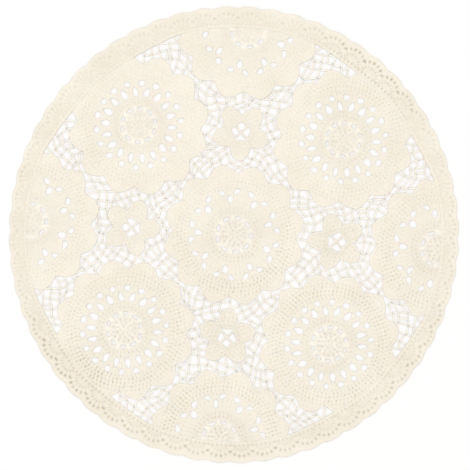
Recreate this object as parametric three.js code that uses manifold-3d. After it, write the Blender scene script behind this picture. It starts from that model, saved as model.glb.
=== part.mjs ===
// Openwork lace placemat, lying flat: a scalloped border round wheel medallions and small rosettes,
// joined by a net of thin bars. Millimetres, +Z up, the underside on z = 0 and the centre at the
// origin. The lace's main axes run along X and Y.
import * as THREE from 'three';
import { mergeVertices } from 'three/addons/utils/BufferGeometryUtils.js';
import Module from 'manifold-3d';

// Mat and border
const MAT_WIDTH = 377;
const MAT_LENGTH = 383;
const SCALLOPS = 60;
const SCALLOP_RISE = 1.7;
const SCALLOP_STEPS = 4;
const BORDER_INNER_RADIUS = 173.5;
const BORDER_INNER_STEPS = 144;
const BORDER_OVERLAP = 3;

// How far the border swells inwards between the medallions, and where, in degrees from the nearest axis
const BORDER_SWELL = { depth: 3.2, from: 20, to: 50 };

// Thickness of the worked motifs and of the thinner net
const MOTIF_THICKNESS = 2.0;
const NET_THICKNESS = 1.4;

// Medallions and rosettes, on a square lattice that stands on its corner
const MEDALLION_SPACING = 121.6;
const HALF_DIAGONAL = MEDALLION_SPACING / Math.SQRT2;
const MEDALLION = { lobes: 12, reach: 59.0, cusp: 51.6, firstLobe: 15, steps: 4, anchors: 24 };
const ROSETTE = { lobes: 5, reach: 24.0, cusp: 14.4, firstLobe: 0, steps: 6, anchors: 10 };
const LOBE_SHARPNESS = 1.2;

// Eye of a rosette: its mean radius, how far its edge swings in at the petals and out between them,
// and the crossed bars in it
const ROSETTE_EYE = { radius: 7.4, swing: 0.9, bar: 1.7, quarters: 4, firstBar: 45, arcSteps: 4 };

// Ring of tall gaps in each kind of medallion: how many, the angle of the first in degrees, the radii
// that a gap spans, and its width
const CLOSE_WHEEL = { count: 18, first: 0, inner: 23.8, outer: 32.4, width: 4.6 };
const PETAL_WHEEL = { count: 9, first: 20, inner: 26.2, outer: 33.4, width: 5.0 };
const GAP_CURVE_SEGMENTS = 4;

// Net of bars between the motifs
const BAR_WIDTH = 1.6;
const NET_PITCH = 13.0;
const NET_CLEARANCE = 8.0;
const NET_TRIES = 9000;
const BORDER_ANCHORS = 84;
const ANCHOR_INSET = 0.4;
const ANCHOR_WANDER = 1.6;
const TUCK_UNDER_MOTIF = 1.0;
const SMALLEST_GAP_AREA = 16;
const FLATTEST_CORNER = 155;

// Steps of the even, never repeating sequences that spread and unsettle the net
const GOLDEN_RATIO = (1 + Math.sqrt(5)) / 2;
const PLASTIC_RATIO = 1.324717957244746;

// Size of a triangle that holds every point of the net
const ALL_ROUND = 20 * MAT_LENGTH;

const COTTON = { color: 0xf7efdd, roughness: 0.9, metalness: 0 };

const wasm = await Module();
wasm.setup();

const radians = THREE.MathUtils.degToRad;
const polar = (radius, angle) => new THREE.Vector2(radius * Math.cos(angle), radius * Math.sin(angle));

// Places of the motifs: close wheels on the diagonals, petal wheels in the middle and on the axes,
// and a rosette on each axis with one petal towards the middle
function placeMotifs() {
  const motifs = [{ ...MEDALLION, centre: new THREE.Vector2(), wheel: PETAL_WHEEL }];
  for (let quarter = 0; quarter < 4; quarter += 1) {
    const axis = radians(90 * quarter);
    motifs.push({
      ...MEDALLION,
      centre: polar(MEDALLION_SPACING, axis + radians(45)),
      wheel: CLOSE_WHEEL,
    });
    motifs.push({
      ...MEDALLION,
      centre: polar(2 * HALF_DIAGONAL, axis),
      wheel: PETAL_WHEEL,
    });
    motifs.push({
      ...ROSETTE,
      firstLobe: 180 + 90 * quarter,
      centre: polar(HALF_DIAGONAL, axis),
      eye: ROSETTE_EYE,
    });
  }
  return motifs;
}

// Radius of a motif's lobed edge: narrow lobes that meet in sharp cusps
function edgeRadius(motif, angle) {
  const turn = (angle - radians(motif.firstLobe)) * motif.lobes / 2;
  return motif.cusp + (motif.reach - motif.cusp) * Math.abs(Math.cos(turn)) ** LOBE_SHARPNESS;
}

// Radius of the mat's slightly oval, scalloped rim
function rimRadius(angle) {
  const oval = new THREE.Vector2(Math.cos(angle) * 2 / MAT_WIDTH, Math.sin(angle) * 2 / MAT_LENGTH);
  const dip = 1 - Math.abs(Math.cos(angle * SCALLOPS / 2));
  return 1 / oval.length() - SCALLOP_RISE * dip;
}

// Radius of the border's inner edge
function borderRadius(angle) {
  const turn = THREE.MathUtils.radToDeg(angle);
  const fromAxis = Math.abs(turn - 90 * Math.round(turn / 90));
  const { depth, from, to } = BORDER_SWELL;
  const share = THREE.MathUtils.clamp((fromAxis - from) / (to - from), 0, 1);
  return BORDER_INNER_RADIUS - depth * Math.sin(Math.PI * share);
}

// Outline of a motif, from cusp to cusp in equal steps
function motifOutline(motif) {
  const count = motif.lobes * motif.steps;
  const start = radians(motif.firstLobe + 180 / motif.lobes);
  return Array.from({ length: count }, (_, i) => {
    const angle = start + 2 * Math.PI * i / count;
    return polar(edgeRadius(motif, angle), angle).add(motif.centre);
  });
}

// How far a point of the ground lies from the nearest motif or from the border, below 0 inside one
function groundDepth(point, motifs) {
  const depths = motifs.map((motif) => {
    const offset = point.clone().sub(motif.centre);
    return offset.length() - edgeRadius(motif, offset.angle());
  });
  return Math.min(borderRadius(point.angle()) - point.length(), ...depths);
}

// Uneven hand of the worker: a number from -0.5 to 0.5 that differs at every step
const uneven = (step) => (step * GOLDEN_RATIO) % 1 - 0.5;

// Points on the motifs' edges and on the border where bars of the net are joined on
function netAnchors(motifs) {
  const anchors = [];
  motifs.forEach((motif, owner) => {
    for (let i = 0; i < motif.anchors; i += 1) {
      const wander = ANCHOR_WANDER * uneven(anchors.length) / motif.reach;
      const angle = radians(motif.firstLobe + 180 / motif.lobes + 360 * i / motif.anchors) + wander;
      const radius = edgeRadius(motif, angle);
      const outside = polar(radius + BAR_WIDTH, angle).add(motif.centre);
      if (groundDepth(outside, motifs) > 0) {
        anchors.push({ point: polar(radius - ANCHOR_INSET, angle).add(motif.centre), owner });
      }
    }
  });
  for (let i = 0; i < BORDER_ANCHORS; i += 1) {
    const angle = 2 * Math.PI * i / BORDER_ANCHORS + ANCHOR_WANDER * uneven(i) / BORDER_INNER_RADIUS;
    const radius = borderRadius(angle);
    if (groundDepth(polar(radius - BAR_WIDTH, angle), motifs) > 0) {
      anchors.push({ point: polar(radius + ANCHOR_INSET, angle), owner: motifs.length });
    }
  }
  return anchors;
}

// Free joints of the net, spread evenly over the open ground by an additive sequence in the plane
function netJoints(motifs, anchors) {
  const joints = [];
  for (let i = 1; i <= NET_TRIES; i += 1) {
    const spread = new THREE.Vector2((i / PLASTIC_RATIO) % 1, (i / PLASTIC_RATIO ** 2) % 1);
    const point = spread.multiplyScalar(2).subScalar(1).multiplyScalar(BORDER_INNER_RADIUS);
    const clear = anchors.every((other) => other.point.distanceTo(point) > NET_CLEARANCE);
    const apart = joints.every((other) => other.point.distanceTo(point) > NET_PITCH);
    if (clear && apart && groundDepth(point, motifs) > NET_CLEARANCE) {
      joints.push({ point, owner: -1 });
    }
  }
  return joints;
}

// Twice the area of a triangle, below 0 where its corners run clockwise
const turned = (a, b, c) => (b.x - a.x) * (c.y - a.y) - (b.y - a.y) * (c.x - a.x);

// Whether a point lies inside the circle through the corners of an anticlockwise triangle
function insideCircle(point, a, b, c) {
  const [u, v, w] = [a, b, c].map((corner) => corner.clone().sub(point));
  const value = u.lengthSq() * v.cross(w) - v.lengthSq() * u.cross(w) + w.lengthSq() * u.cross(v);
  return value > 0;
}

// Triangles that join the points without long thin ones, built up a point at a time
function triangulate(points) {
  const outer = [210, 330, 90].map((angle) => polar(ALL_ROUND, radians(angle)));
  const corners = [...points, ...outer];
  let triangles = [[points.length, points.length + 1, points.length + 2]];
  points.forEach((point, index) => {
    const struck = new Set(triangles.filter((t) => insideCircle(point, ...t.map((i) => corners[i]))));
    const edges = [...struck].flatMap(([a, b, c]) => [[a, b], [b, c], [c, a]]);
    const rim = edges.filter(([a, b]) => !edges.some(([c, d]) => c === b && d === a));
    triangles = triangles.filter((t) => !struck.has(t));
    triangles.push(...rim.map(([a, b]) => [a, b, index]));
  });
  return triangles.filter((t) => t.every((i) => i < points.length));
}

// Widest corner of a polygon, in degrees, without limit where it isn't convex
function widestCorner(polygon) {
  const angles = polygon.map((corner, i) => {
    const before = polygon[(i + polygon.length - 1) % polygon.length];
    const after = polygon[(i + 1) % polygon.length];
    if (turned(before, corner, after) <= 0) {
      return Infinity;
    }
    const back = before.clone().sub(corner);
    return THREE.MathUtils.radToDeg(back.angleTo(after.clone().sub(corner)));
  });
  return Math.max(...angles);
}

// Meshes of the net: triangles of the ground, joined in pairs where that makes a good four-sided mesh
function netMeshes(nodes, motifs) {
  const points = nodes.map((node) => node.point);
  const ground = triangulate(points).filter((t) => {
    const middle = t.reduce((sum, i) => sum.add(points[i]), new THREE.Vector2()).divideScalar(3);
    return groundDepth(middle, motifs) > 0;
  });
  const pairs = [];
  ground.forEach((first, i) => ground.slice(i + 1).forEach((second) => {
    const shared = first.filter((index) => second.includes(index));
    if (shared.length === 2) {
      const turn = first.findIndex((index) => !shared.includes(index));
      const far = second.find((index) => !shared.includes(index));
      const mesh = [first[turn], first[(turn + 1) % 3], far, first[(turn + 2) % 3]];
      const corner = widestCorner(mesh.map((index) => points[index]));
      if (corner < FLATTEST_CORNER) {
        pairs.push({ first, second, mesh, corner });
      }
    }
  }));
  pairs.sort((a, b) => a.corner - b.corner);
  const used = new Set();
  const meshes = [];
  pairs.forEach(({ first, second, mesh }) => {
    if (!used.has(first) && !used.has(second)) {
      used.add(first).add(second);
      meshes.push(mesh);
    }
  });
  return meshes.concat(ground.filter((t) => !used.has(t)));
}

// Where two lines cross, each given by a point and a direction
function crossing(p, along, q, across) {
  const way = q.clone().sub(p).cross(across) / along.cross(across);
  return p.clone().addScaledVector(along, way);
}

// Open gap of a mesh: its sides drawn in by half a bar, or tucked under the motif that they lie along
function meshGap(mesh, nodes) {
  const sides = mesh.map((index, i) => {
    const [from, to] = [nodes[index], nodes[mesh[(i + 1) % mesh.length]]];
    const along = to.point.clone().sub(from.point).normalize();
    const onMotif = from.owner >= 0 && from.owner === to.owner;
    const inset = onMotif ? -TUCK_UNDER_MOTIF : BAR_WIDTH / 2;
    const inwards = new THREE.Vector2(-along.y, along.x);
    return { start: from.point.clone().addScaledVector(inwards, inset), along };
  });
  return sides.map((side, i) => {
    const before = sides[(i + sides.length - 1) % sides.length];
    return crossing(before.start, before.along, side.start, side.along);
  });
}

// Gaps of the net that are wide enough to cut
function netGaps(motifs) {
  const anchors = netAnchors(motifs);
  const nodes = anchors.concat(netJoints(motifs, anchors));
  const gaps = netMeshes(nodes, motifs).map((mesh) => meshGap(mesh, nodes));
  return gaps.filter((gap) => THREE.ShapeUtils.area(gap) > SMALLEST_GAP_AREA && widestCorner(gap) < 180);
}

// Long round gaps of a medallion's ring, left out where the border covers them
function wheelGaps(motif) {
  if (!motif.wheel) {
    return [];
  }
  const { count, first, inner, outer, width } = motif.wheel;
  const angles = Array.from({ length: count }, (_, i) => radians(first + 360 * i / count));
  const open = angles.filter((angle) => {
    const end = polar(outer, angle).add(motif.centre);
    return end.length() < BORDER_INNER_RADIUS;
  });
  return open.map((angle) => {
    const middle = polar((inner + outer) / 2, angle).add(motif.centre);
    const shape = new THREE.Shape();
    shape.absellipse(middle.x, middle.y, (outer - inner) / 2, width / 2, 0, 2 * Math.PI, false, angle);
    return shape;
  });
}

// Four quarter gaps round the crossed bars in the eye of a rosette
function eyeGaps(motif) {
  if (!motif.eye) {
    return [];
  }
  const { radius, swing, bar, quarters, firstBar, arcSteps } = motif.eye;
  const trim = Math.asin(bar / 2 / radius);
  const edge = (angle) => radius - swing * Math.cos((angle - radians(motif.firstLobe)) * motif.lobes);
  return Array.from({ length: quarters }, (_, i) => {
    const start = radians(motif.firstLobe + firstBar + 360 * i / quarters);
    const end = start + 2 * Math.PI / quarters;
    const points = [polar(bar / Math.SQRT2, (start + end) / 2)];
    for (let step = 0; step <= arcSteps; step += 1) {
      const angle = THREE.MathUtils.lerp(start + trim, end - trim, step / arcSteps);
      points.push(polar(edge(angle), angle));
    }
    return new THREE.Shape(points.map((point) => point.add(motif.centre)));
  });
}

// Solid of a flat shape drawn upwards from a level
function plate(shape, bottom, thickness) {
  const options = { depth: thickness, bevelEnabled: false, curveSegments: GAP_CURVE_SEGMENTS };
  const raw = new THREE.ExtrudeGeometry(shape, options).translate(0, 0, bottom);
  raw.deleteAttribute('normal');
  raw.deleteAttribute('uv');
  const geometry = mergeVertices(raw);
  return new wasm.Manifold(new wasm.Mesh({
    numProp: 3,
    vertProperties: new Float32Array(geometry.attributes.position.array),
    triVerts: new Uint32Array(geometry.index.array),
  }));
}

// Solid that reaches well past both faces of the mat
const through = (shape) => plate(shape, -MOTIF_THICKNESS, 3 * MOTIF_THICKNESS);

const join = (solids) => solids.reduce((whole, solid) => whole.add(solid));

// Closed loop of points round the middle
const loop = (count, radiusAt) => Array.from({ length: count }, (_, i) => {
  const angle = 2 * Math.PI * i / count;
  return polar(radiusAt(angle), angle);
});

// The whole lace as one solid: a plate of the rim's outline, lowered where the net lies and pierced
function laceGeometry() {
  const motifs = placeMotifs();
  const rim = new THREE.Shape(loop(SCALLOPS * SCALLOP_STEPS, rimRadius));
  const border = rim.clone();
  border.holes.push(new THREE.Path(loop(BORDER_INNER_STEPS, borderRadius)));
  const field = new THREE.Shape(loop(BORDER_INNER_STEPS, () => BORDER_INNER_RADIUS + BORDER_OVERLAP));
  const outlines = motifs.map((motif) => new THREE.Shape(motifOutline(motif)));
  const meshGaps = netGaps(motifs).map((gap) => new THREE.Shape(gap));
  const motifGaps = motifs.flatMap((motif) => [...wheelGaps(motif), ...eyeGaps(motif)]);

  const worked = join([border, ...outlines].map(through));
  const netCuts = join(meshGaps.map(through)).subtract(worked);
  const netDip = plate(field, NET_THICKNESS, MOTIF_THICKNESS).subtract(worked);
  const cuts = join([netCuts, netDip, ...motifGaps.map(through)]);
  const lace = plate(rim, 0, MOTIF_THICKNESS).subtract(cuts);

  const mesh = lace.getMesh();
  const geometry = new THREE.BufferGeometry();
  const corners = new Float32Array(mesh.vertProperties);
  geometry.setAttribute('position', new THREE.BufferAttribute(corners, mesh.numProp));
  geometry.setIndex(new THREE.BufferAttribute(new Uint32Array(mesh.triVerts), 1));
  geometry.computeVertexNormals();
  return geometry;
}

const lace = new THREE.Mesh(laceGeometry(), new THREE.MeshStandardMaterial(COTTON));
lace.name = 'lace_placemat';

const placemat = new THREE.Group();
placemat.add(lace);

export default placemat;
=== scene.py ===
"""Dresses the openwork placemat in worked cotton.

The lace is made of wheel medallions, small rosettes, a ground of thin bars and a scalloped border.
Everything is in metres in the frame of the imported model: the underside lies on z = 0, the middle of
the mat is at the origin, and the main axes of the lace run along X and Y.
"""
import logging
import math
from abc import ABC, abstractmethod
from collections.abc import Mapping
from dataclasses import dataclass, replace
from enum import Enum

import bpy
import numpy as np
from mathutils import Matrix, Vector
from mathutils.geometry import delaunay_2d_cdt
from mathutils.kdtree import KDTree


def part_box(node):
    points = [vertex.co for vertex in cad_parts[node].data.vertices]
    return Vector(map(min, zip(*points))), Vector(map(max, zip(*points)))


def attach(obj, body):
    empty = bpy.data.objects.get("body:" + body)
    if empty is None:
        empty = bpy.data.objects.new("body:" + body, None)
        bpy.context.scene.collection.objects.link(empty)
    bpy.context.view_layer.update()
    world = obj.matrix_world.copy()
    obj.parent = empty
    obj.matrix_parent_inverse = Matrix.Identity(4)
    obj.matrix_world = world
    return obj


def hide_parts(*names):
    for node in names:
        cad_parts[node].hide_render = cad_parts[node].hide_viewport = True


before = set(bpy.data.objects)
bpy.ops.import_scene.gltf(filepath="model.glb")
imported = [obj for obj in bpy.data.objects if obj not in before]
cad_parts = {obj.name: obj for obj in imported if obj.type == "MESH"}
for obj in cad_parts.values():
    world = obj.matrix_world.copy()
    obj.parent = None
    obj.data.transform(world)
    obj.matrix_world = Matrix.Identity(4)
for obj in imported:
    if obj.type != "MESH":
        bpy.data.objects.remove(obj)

LOG = logging.getLogger("openwork_placemat")

MM = 0.001
TURN = 2 * math.pi
BODY = "root"
LACE_NODE = "lace_placemat"

# Ratios of even, never repeating sequences: one unsettles gaps and bars, the other spreads joints.
GOLDEN_RATIO = (1 + math.sqrt(5)) / 2
PLASTIC_RATIO = 1.324717957244746

# Factors that put whole steps into no order that can be seen.
SCATTER_STEP = 12.9898
SCATTER_SEED = 78.233
SCATTER_SPREAD = 43758.5453

# Spacing of the mesh along edges and between them, and the distance at which points are one.
EDGE_SPACING = 0.8 * MM
INNER_SPACING = 0.9 * MM
EDGE_CLEARANCE = 0.45 * MM
EDGE_PROBE = 0.25 * MM
MERGE_DISTANCE = 1e-7
FEWEST_EDGE_POINTS = 8
TEST_BLOCK = 4096

# Points that curves are drawn with before they are spaced evenly.
LOBE_STEPS = 200
GAP_STEPS = 120
EYE_STEPS = 30
HEM_STEPS = 300
SCALLOP_STEPS = 40

# How pointed posts are: below 1, they are broad with narrow grooves between them.
POST_POINT = 0.7

Array = np.ndarray
Bar = tuple[Array, Array]
Colour = tuple[float, float, float, float]


class Wheel(Enum):
    """The two ways in which the open wheel of a medallion is worked."""

    CLOSE = "close"
    PETAL = "petal"


def polar(radius: Array | float, angle: Array | float) -> Array:
    """Turns radii and angles in radians into points of the plane."""
    return np.stack(np.broadcast_arrays(radius * np.cos(angle), radius * np.sin(angle)), axis=-1)


def to_polar(points: Array) -> tuple[Array, Array]:
    """Turns points of the plane into radii and angles in radians."""
    return np.linalg.norm(points, axis=1), np.arctan2(points[:, 1], points[:, 0])


def turned(points: Array, angle: float) -> Array:
    """Turns points of the plane round the origin by an angle in radians."""
    cos, sin = math.cos(angle), math.sin(angle)
    return points @ np.array([[cos, sin], [-sin, cos]])


def uneven(step: int) -> float:
    """Uneven hand of the worker: a number from -0.5 to 0.5 that differs at every step."""
    return (step * GOLDEN_RATIO) % 1.0 - 0.5


def scatter(step: Array, seed: float) -> Array:
    """Gives a number from 0 to 1 for each whole step, in no order that can be seen."""
    return np.sin(step * SCATTER_STEP + seed * SCATTER_SEED) * SCATTER_SPREAD % 1.0


def arch(share: Array) -> Array:
    """Gives the height of a round stitch across its width: 1 in the middle and 0 at its sides."""
    return np.sqrt(np.clip(4 * share * (1 - share), 0, 1))


def post_height(place: Array) -> Array:
    """Gives the height of posts set one step apart: 1 at whole places and 0 halfway between."""
    return np.abs(np.cos(math.pi * place)) ** POST_POINT


def raised(least: float, share: Array) -> Array:
    """Takes shares from 0 to 1 to values from the least one to 1."""
    return least + (1 - least) * share


def spot(*offsets: Array) -> Array:
    """Gives the strength of a soft round spot at offsets from its middle, in shares of its size."""
    return np.exp(-sum(offset**2 for offset in offsets))


def even_loop(loop: Array, spacing: float) -> Array:
    """Spaces the points of a closed loop evenly.

    Args:
        loop: corners of the loop, without the first one again at the end.
        spacing: wanted distance between points.

    Returns:
        The new points of the loop.
    """
    closed = np.vstack([loop, loop[:1]])
    steps = np.linalg.norm(np.diff(closed, axis=0), axis=1)
    way = np.concatenate([[0.0], np.cumsum(steps)])
    count = max(FEWEST_EDGE_POINTS, round(way[-1] / spacing))
    stops = np.arange(count) * way[-1] / count
    return np.stack([np.interp(stops, way, closed[:, axis]) for axis in (0, 1)], axis=1)


def inside_loop(points: Array, loop: Array) -> Array:
    """Tells which points lie inside a closed loop.

    Args:
        points: the points to test.
        loop: corners of the loop.

    Returns:
        A truth value for each point.
    """
    step = np.roll(loop, -1, axis=0) - loop
    rise = np.where(step[:, 1] == 0, 1.0, step[:, 1])
    inside = np.zeros(len(points), dtype=bool)
    near = np.flatnonzero(np.all((points > loop.min(axis=0)) & (points < loop.max(axis=0)), axis=1))
    for block in np.array_split(near, len(near) // TEST_BLOCK + 1):
        x, y = points[block, :1], points[block, 1:]
        spans = (loop[:, 1] > y) != (loop[:, 1] + step[:, 1] > y)
        left_of = x < loop[:, 0] + (y - loop[:, 1]) * step[:, 0] / rise
        inside[block] = (spans & left_of).sum(axis=1) % 2 == 1
    return inside


def nearest_distance(points: Array, others: Array) -> Array:
    """Measures how far each point lies from the nearest of the others.

    Args:
        points: the points to measure from.
        others: the points to measure to.

    Returns:
        A distance for each point.
    """
    tree = KDTree(len(others))
    for index, (x, y) in enumerate(others.tolist()):
        tree.insert((x, y, 0.0), index)
    tree.balance()
    return np.array([tree.find((x, y, 0.0))[2] for x, y in points.tolist()])


def triangulate(points: Array, edges: list[tuple[int, int]]) -> tuple[Array, Array]:
    """Joins points with triangles that keep the given edges.

    Args:
        points: points of the plane.
        edges: pairs of point numbers that stay joined.

    Returns:
        The points and the triangles, whose corners run anticlockwise.
    """
    corners = [Vector(point) for point in points.tolist()]
    placed, _, faces, *_ = delaunay_2d_cdt(corners, edges, [], 0, MERGE_DISTANCE)
    placed = np.array([tuple(point) for point in placed])
    faces = np.array(faces)
    a, b, c = (placed[faces[:, corner]] for corner in range(3))
    clockwise = np.cross(b - a, c - a) < 0
    faces[clockwise] = faces[clockwise][:, ::-1]
    return placed, faces


def loop_edges(loops: list[Array]) -> list[tuple[int, int]]:
    """Numbers the sides of closed loops whose points follow one another.

    Args:
        loops: points of each loop.

    Returns:
        A pair of point numbers for each side.
    """
    edges = []
    start = 0
    for loop in loops:
        numbers = np.arange(start, start + len(loop))
        edges += zip(numbers.tolist(), np.roll(numbers, -1).tolist())
        start += len(loop)
    return edges


def closed_shell(upper: Array, lower: Array, triangles: Array) -> tuple[Array, Array]:
    """Joins the two sides of a cloth along all its edges.

    Args:
        upper: points of the upper side.
        lower: points of the under side, in the same order.
        triangles: triangles of the upper side, anticlockwise from above.

    Returns:
        The points and triangles of the closed cloth.
    """
    count = len(upper)
    sides = np.vstack([triangles[:, [0, 1]], triangles[:, [1, 2]], triangles[:, [2, 0]]]).tolist()
    met = set(map(tuple, sides))
    start, end = np.array([side for side in sides if (side[1], side[0]) not in met]).T
    first_half = np.column_stack([start + count, end + count, end])
    second_half = np.column_stack([start + count, end, start])
    faces = np.vstack([triangles, triangles[:, ::-1] + count, first_half, second_half])
    return np.vstack([upper, lower]), faces


def tube_corners(last: int, sides: int) -> tuple[Array, Array]:
    """Sets out the triangles of a tube that ends in two tips.

    Args:
        last: number of the last ring of points.
        sides: points in a ring.

    Returns:
        The ring of each triangle's corners, -1 and last + 1 for the tips, and their side of the tube.
    """
    ring, side = (grid.reshape(-1, 1) for grid in np.mgrid[0:last, 0:sides])
    around = np.arange(sides)[:, None]
    first_tip, last_tip = 0 * around + (0, 0, -1), 0 * around + (last, last, last + 1)
    rings = np.vstack([ring + (0, 1, 1), ring + (0, 1, 0), first_tip, last_tip])
    columns = np.vstack([side + (0, 0, 1), side + (0, 1, 1), around + (0, 1, 0), around + (1, 0, 0)])
    return rings, columns


def cloth_object(
    name: str,
    points: Array,
    triangles: Array,
    yarn: Array,
    tones: Mapping[str, Array],
    material: bpy.types.Material,
) -> bpy.types.Object:
    """Makes a smooth mesh object of one cloth piece.

    Args:
        name: name of the piece.
        points: corners in metres.
        triangles: corner numbers of each face.
        yarn: place along the yarn of each corner of each face.
        tones: at each point, from 0 to 1, the depth into a stitch hole, which also sets the painted shade
            there, and the share of painted light.
        material: finish of the piece.

    Returns:
        The object, at the origin, in the scene's collection.
    """
    mesh = bpy.data.meshes.new(name)
    mesh.from_pydata(points.tolist(), [], triangles.tolist())
    mesh.uv_layers.new(name="yarn").data.foreach_set("uv", yarn.reshape(-1).astype(np.float32))
    for tone, values in tones.items():
        mesh.attributes.new(tone, "FLOAT", "POINT").data.foreach_set("value", values.astype(np.float32))
    mesh.materials.append(material)
    mesh.shade_smooth()
    mesh.update()
    piece = bpy.data.objects.new(name, mesh)
    bpy.context.scene.collection.objects.link(piece)
    return piece


def seat(piece: bpy.types.Object) -> None:
    """Puts a piece on the mat's body, in place of the plain solid.

    Args:
        piece: the piece.
    """
    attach(piece, BODY)
    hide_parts(LACE_NODE)


@dataclass
class NodeBench:
    """Adds nodes to a material and joins them up.

    Attributes:
        tree: node tree of the material.
    """

    tree: bpy.types.NodeTree

    def feed(self, node: bpy.types.Node, inputs: Mapping[str | int, object]) -> None:
        """Sets inputs of a node.

        Args:
            node: the node.
            inputs: values of its inputs, or the outputs of other nodes that lead to them.
        """
        for name, value in inputs.items():
            if isinstance(value, bpy.types.NodeSocket):
                self.tree.links.new(value, node.inputs[name])
            else:
                node.inputs[name].default_value = value

    def add(self, kind: str, inputs: Mapping[str | int, object], **settings: object) -> bpy.types.Node:
        """Adds a node.

        Args:
            kind: type of the node.
            inputs: values of its inputs, or the outputs of other nodes that lead to them.
            settings: the node's own settings.

        Returns:
            The node.
        """
        node = self.tree.nodes.new(kind)
        for setting, value in settings.items():
            setattr(node, setting, value)
        self.feed(node, inputs)
        return node


@dataclass(frozen=True)
class CottonFinish:
    """Unbleached crochet cotton.

    Attributes:
        pale: colour of the raised yarn.
        deep: painted shade, the colour down in the stitch holes and between posts.
        painted_light_colour: painted light, a paler colour for light that passes through the yarn at edges,
            hubs, the rim and the bars.
        tint: tint of the darker places in the changes of tone.
        tint_span: where in the changes of tone the tint starts to fade, and where it ends.
        tone_scale: size of the broad, faint changes of tone, as cycles to a metre.
        mottle_scale: size of the changes of tone from stitch to stitch, as cycles to a metre.
        fuzz_scale: size of the loose fibres, as cycles to a metre.
        ply_scale: turns of the plied yarn to a stitch.
        ply_sway: how unevenly the plies run.
        ply_share: how far the plies stand out beside the fibres.
        roughness: least and greatest roughness.
        gloss: level of the plain reflection.
        sheen: weight of the soft sheen of loose fibres.
        sheen_roughness: roughness of that sheen.
        glow: share of the light that passes through the yarn.
        glow_depth: how deep that light goes.
        glow_reach: how deep its red, green and blue go, as shares of that depth.
        bump: depth of the yarn's own relief.
        bump_share: how strongly that relief shows.
    """

    pale: Colour = (0.755, 0.712, 0.628, 1.0)
    deep: Colour = (0.40, 0.335, 0.245, 1.0)
    painted_light_colour: Colour = (0.90, 0.872, 0.815, 1.0)
    tint: Colour = (0.925, 0.91, 0.885, 1.0)
    tint_span: tuple[float, float] = (0.35, 0.65)
    tone_scale: float = 30.0
    mottle_scale: float = 650.0
    fuzz_scale: float = 2600.0
    ply_scale: float = 3.0
    ply_sway: float = 1.2
    ply_share: float = 0.7
    roughness: tuple[float, float] = (0.82, 0.96)
    gloss: float = 0.25
    sheen: float = 0.08
    sheen_roughness: float = 0.6
    glow: float = 0.4
    glow_depth: float = 0.9 * MM
    glow_reach: tuple[float, float, float] = (1.0, 0.85, 0.6)
    bump: float = 0.12 * MM
    bump_share: float = 0.6

    def material(self) -> bpy.types.Material:
        """Builds the material, which follows the yarn by the piece's own map.

        Returns:
            The material.
        """
        material = bpy.data.materials.new("worked_cotton")
        material.use_nodes = True
        bench = NodeBench(material.node_tree)
        place = bench.add("ShaderNodeTexCoord", {}).outputs["Object"]
        fuzz = self._noise(bench, place, self.fuzz_scale, 2.0)
        least, most = self.roughness
        rough = bench.add("ShaderNodeMapRange", {"Value": fuzz, "To Min": least, "To Max": most})
        shader = material.node_tree.nodes["Principled BSDF"]
        bench.feed(
            shader,
            {
                "Base Color": self._colour(bench, place),
                "Roughness": rough.outputs["Result"],
                "Normal": self._relief(bench, fuzz),
                "Specular IOR Level": self.gloss,
                "Sheen Weight": self.sheen,
                "Sheen Roughness": self.sheen_roughness,
                "Subsurface Weight": self.glow,
                "Subsurface Radius": self.glow_reach,
                "Subsurface Scale": self.glow_depth,
            },
        )
        return material

    @staticmethod
    def _noise(
        bench: NodeBench, place: bpy.types.NodeSocket, scale: float, detail: float
    ) -> bpy.types.NodeSocket:
        """Adds a soft pattern without order.

        Args:
            bench: where the nodes are added.
            place: coordinates on the piece.
            scale: cycles to a metre.
            detail: finer layers in it.

        Returns:
            The output with the pattern.
        """
        noise = bench.add("ShaderNodeTexNoise", {"Vector": place, "Scale": scale, "Detail": detail})
        return noise.outputs["Fac"]

    def _colour(self, bench: NodeBench, place: bpy.types.NodeSocket) -> bpy.types.NodeSocket:
        """Mixes the colour from the painted shade of the stitch holes, the painted light of the yarn and the
        changes of tone.

        Args:
            bench: where the nodes are added.
            place: coordinates on the piece.

        Returns:
            The output with the colour.
        """
        # Painted shade: the yarn darkens towards the deep colour by how deep the stitch holes and grooves
        # are.
        pit_shade = bench.add("ShaderNodeAttribute", {}, attribute_name="pit_shade").outputs["Fac"]
        dark = {"Factor": pit_shade, "A": self.pale, "B": self.deep}
        shade = bench.add("ShaderNodeMix", dark, data_type="RGBA").outputs["Result"]
        # Painted light: the yarn is lightened towards a paler colour where light would pass through it.
        painted_light = bench.add("ShaderNodeAttribute", {}, attribute_name="painted_light").outputs["Fac"]
        clear = {"Factor": painted_light, "A": shade, "B": self.painted_light_colour}
        yarn = bench.add("ShaderNodeMix", clear, data_type="RGBA").outputs["Result"]

        tone = self._noise(bench, place, self.tone_scale, 3.0)
        mottle = self._noise(bench, place, self.mottle_scale, 1.0)
        half = bench.add("ShaderNodeMath", {0: mottle, 1: 0.5}, operation="MULTIPLY").outputs["Value"]
        mean = bench.add("ShaderNodeMath", {0: tone, 1: 0.5, 2: half}, operation="MULTIPLY_ADD")
        ramp = bench.add("ShaderNodeValToRGB", {"Fac": mean.outputs["Value"]})
        first, last = ramp.color_ramp.elements
        first.position, last.position = self.tint_span
        first.color, last.color = self.tint, (1.0, 1.0, 1.0, 1.0)
        both = {"Factor": 1.0, "A": yarn, "B": ramp.outputs["Color"]}
        return bench.add("ShaderNodeMix", both, data_type="RGBA", blend_type="MULTIPLY").outputs["Result"]

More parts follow.
